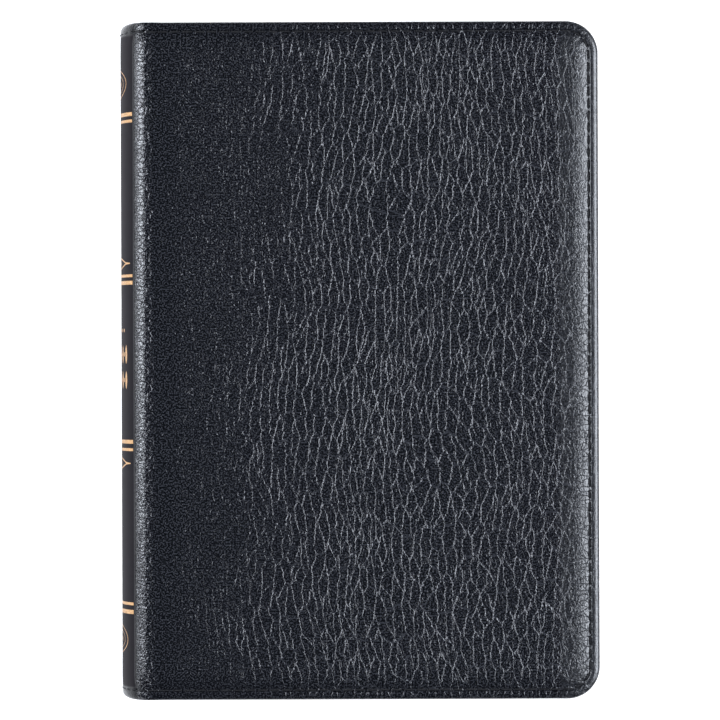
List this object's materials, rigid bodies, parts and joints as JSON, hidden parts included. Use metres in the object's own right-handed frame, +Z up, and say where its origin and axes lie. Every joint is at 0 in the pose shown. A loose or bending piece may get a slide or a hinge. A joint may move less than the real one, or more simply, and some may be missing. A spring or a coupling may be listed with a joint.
{
  "type": "bible",
  "caption": "Thick closed book in a soft stitched leather cover with a rounded spine; both covers fold open, and the rounded page block opens at its middle on loose leaves.",
  "frame": {"origin": "centre of the closed book's underside, on the surface it lies on", "axes": "+X from the spine to the fore-edge, +Y from tail to head, +Z up through the front cover"},
  "size_m": [0.153, 0.216, 0.033],
  "materials": {
    "leather": "black pebble-grained leather with a soft sheen",
    "board": "uncoated grey card",
    "lining": "smooth black lining",
    "thread": "waxed black sewing thread",
    "mull": "open-weave cotton cloth",
    "headband": "striped silk roll",
    "paper": "thin uncoated paper, gilded at its edges",
    "end_paper": "heavier uncoated paper",
    "gold": "stamped gold foil"
  },
  "bodies": {
    "page_block_rear": {"spine_leather": "leather", "spine_head_stitching": "thread", "spine_tail_stitching": "thread", "spine_mull": "mull", "head_band": "headband", "tail_band": "headband", "section_13": "paper", "section_14": "paper", "section_15": "paper", "section_16": "paper", "section_17": "paper", "section_18": "paper", "section_19": "paper", "section_20": "paper", "section_21": "paper", "section_22": "paper", "section_23": "paper", "section_24": "paper", "rear_flyleaf": "end_paper"},
    "page_block_front": {"section_01": "paper", "section_02": "paper", "section_03": "paper", "section_04": "paper", "section_05": "paper", "section_06": "paper", "section_07": "paper", "section_08": "paper", "section_09": "paper", "section_10": "paper", "section_11": "paper", "section_12": "paper", "front_flyleaf": "end_paper"},
    "front_cover": {"front_cover_leather": "leather", "front_cover_board": "board", "front_cover_lining": "lining", "front_cover_stitching": "thread"},
    "back_cover": {"back_cover_leather": "leather", "back_cover_board": "board", "back_cover_lining": "lining", "back_cover_stitching": "thread"},
    "leaf_1": {"leaf_1": "paper"},
    "leaf_2": {"leaf_2": "paper"},
    "leaf_3": {"leaf_3": "paper"}
  },
  "joints": [
    {"name": "text_opening", "type": "hinge", "parent": "page_block_rear", "child": "page_block_front", "pos_m": [-0.07465, 0, 0.0165], "axis": [0, -1, 0], "range_deg": [0, 180], "deforming": ["spine_leather", "spine_head_stitching", "spine_tail_stitching", "spine_mull", "head_band", "tail_band"]},
    {"name": "front_cover_hinge", "type": "hinge", "parent": "page_block_front", "child": "front_cover", "pos_m": [-0.065, 0, 0.0348], "axis": [0, -1, 0], "range_deg": [0, 180]},
    {"name": "back_cover_hinge", "type": "hinge", "parent": "page_block_rear", "child": "back_cover", "pos_m": [-0.065, 0, -0.0002], "axis": [0, 1, 0], "range_deg": [0, 180]},
    {"name": "leaf_1_turn", "type": "hinge", "parent": "page_block_rear", "child": "leaf_1", "pos_m": [-0.07465, 0, 0.0165], "axis": [0, -1, 0], "range_deg": [0, 9]},
    {"name": "leaf_2_turn", "type": "hinge", "parent": "page_block_rear", "child": "leaf_2", "pos_m": [-0.07465, 0, 0.0165], "axis": [0, -1, 0], "range_deg": [0, 90]},
    {"name": "leaf_3_turn", "type": "hinge", "parent": "page_block_rear", "child": "leaf_3", "pos_m": [-0.07465, 0, 0.0165], "axis": [0, -1, 0], "range_deg": [0, 171]}
  ],
  "couplings": [
    {"joint": "leaf_1_turn", "follows": "text_opening", "ratio": 0.05},
    {"joint": "leaf_2_turn", "follows": "text_opening", "ratio": 0.5},
    {"joint": "leaf_3_turn", "follows": "text_opening", "ratio": 0.95}
  ]
}
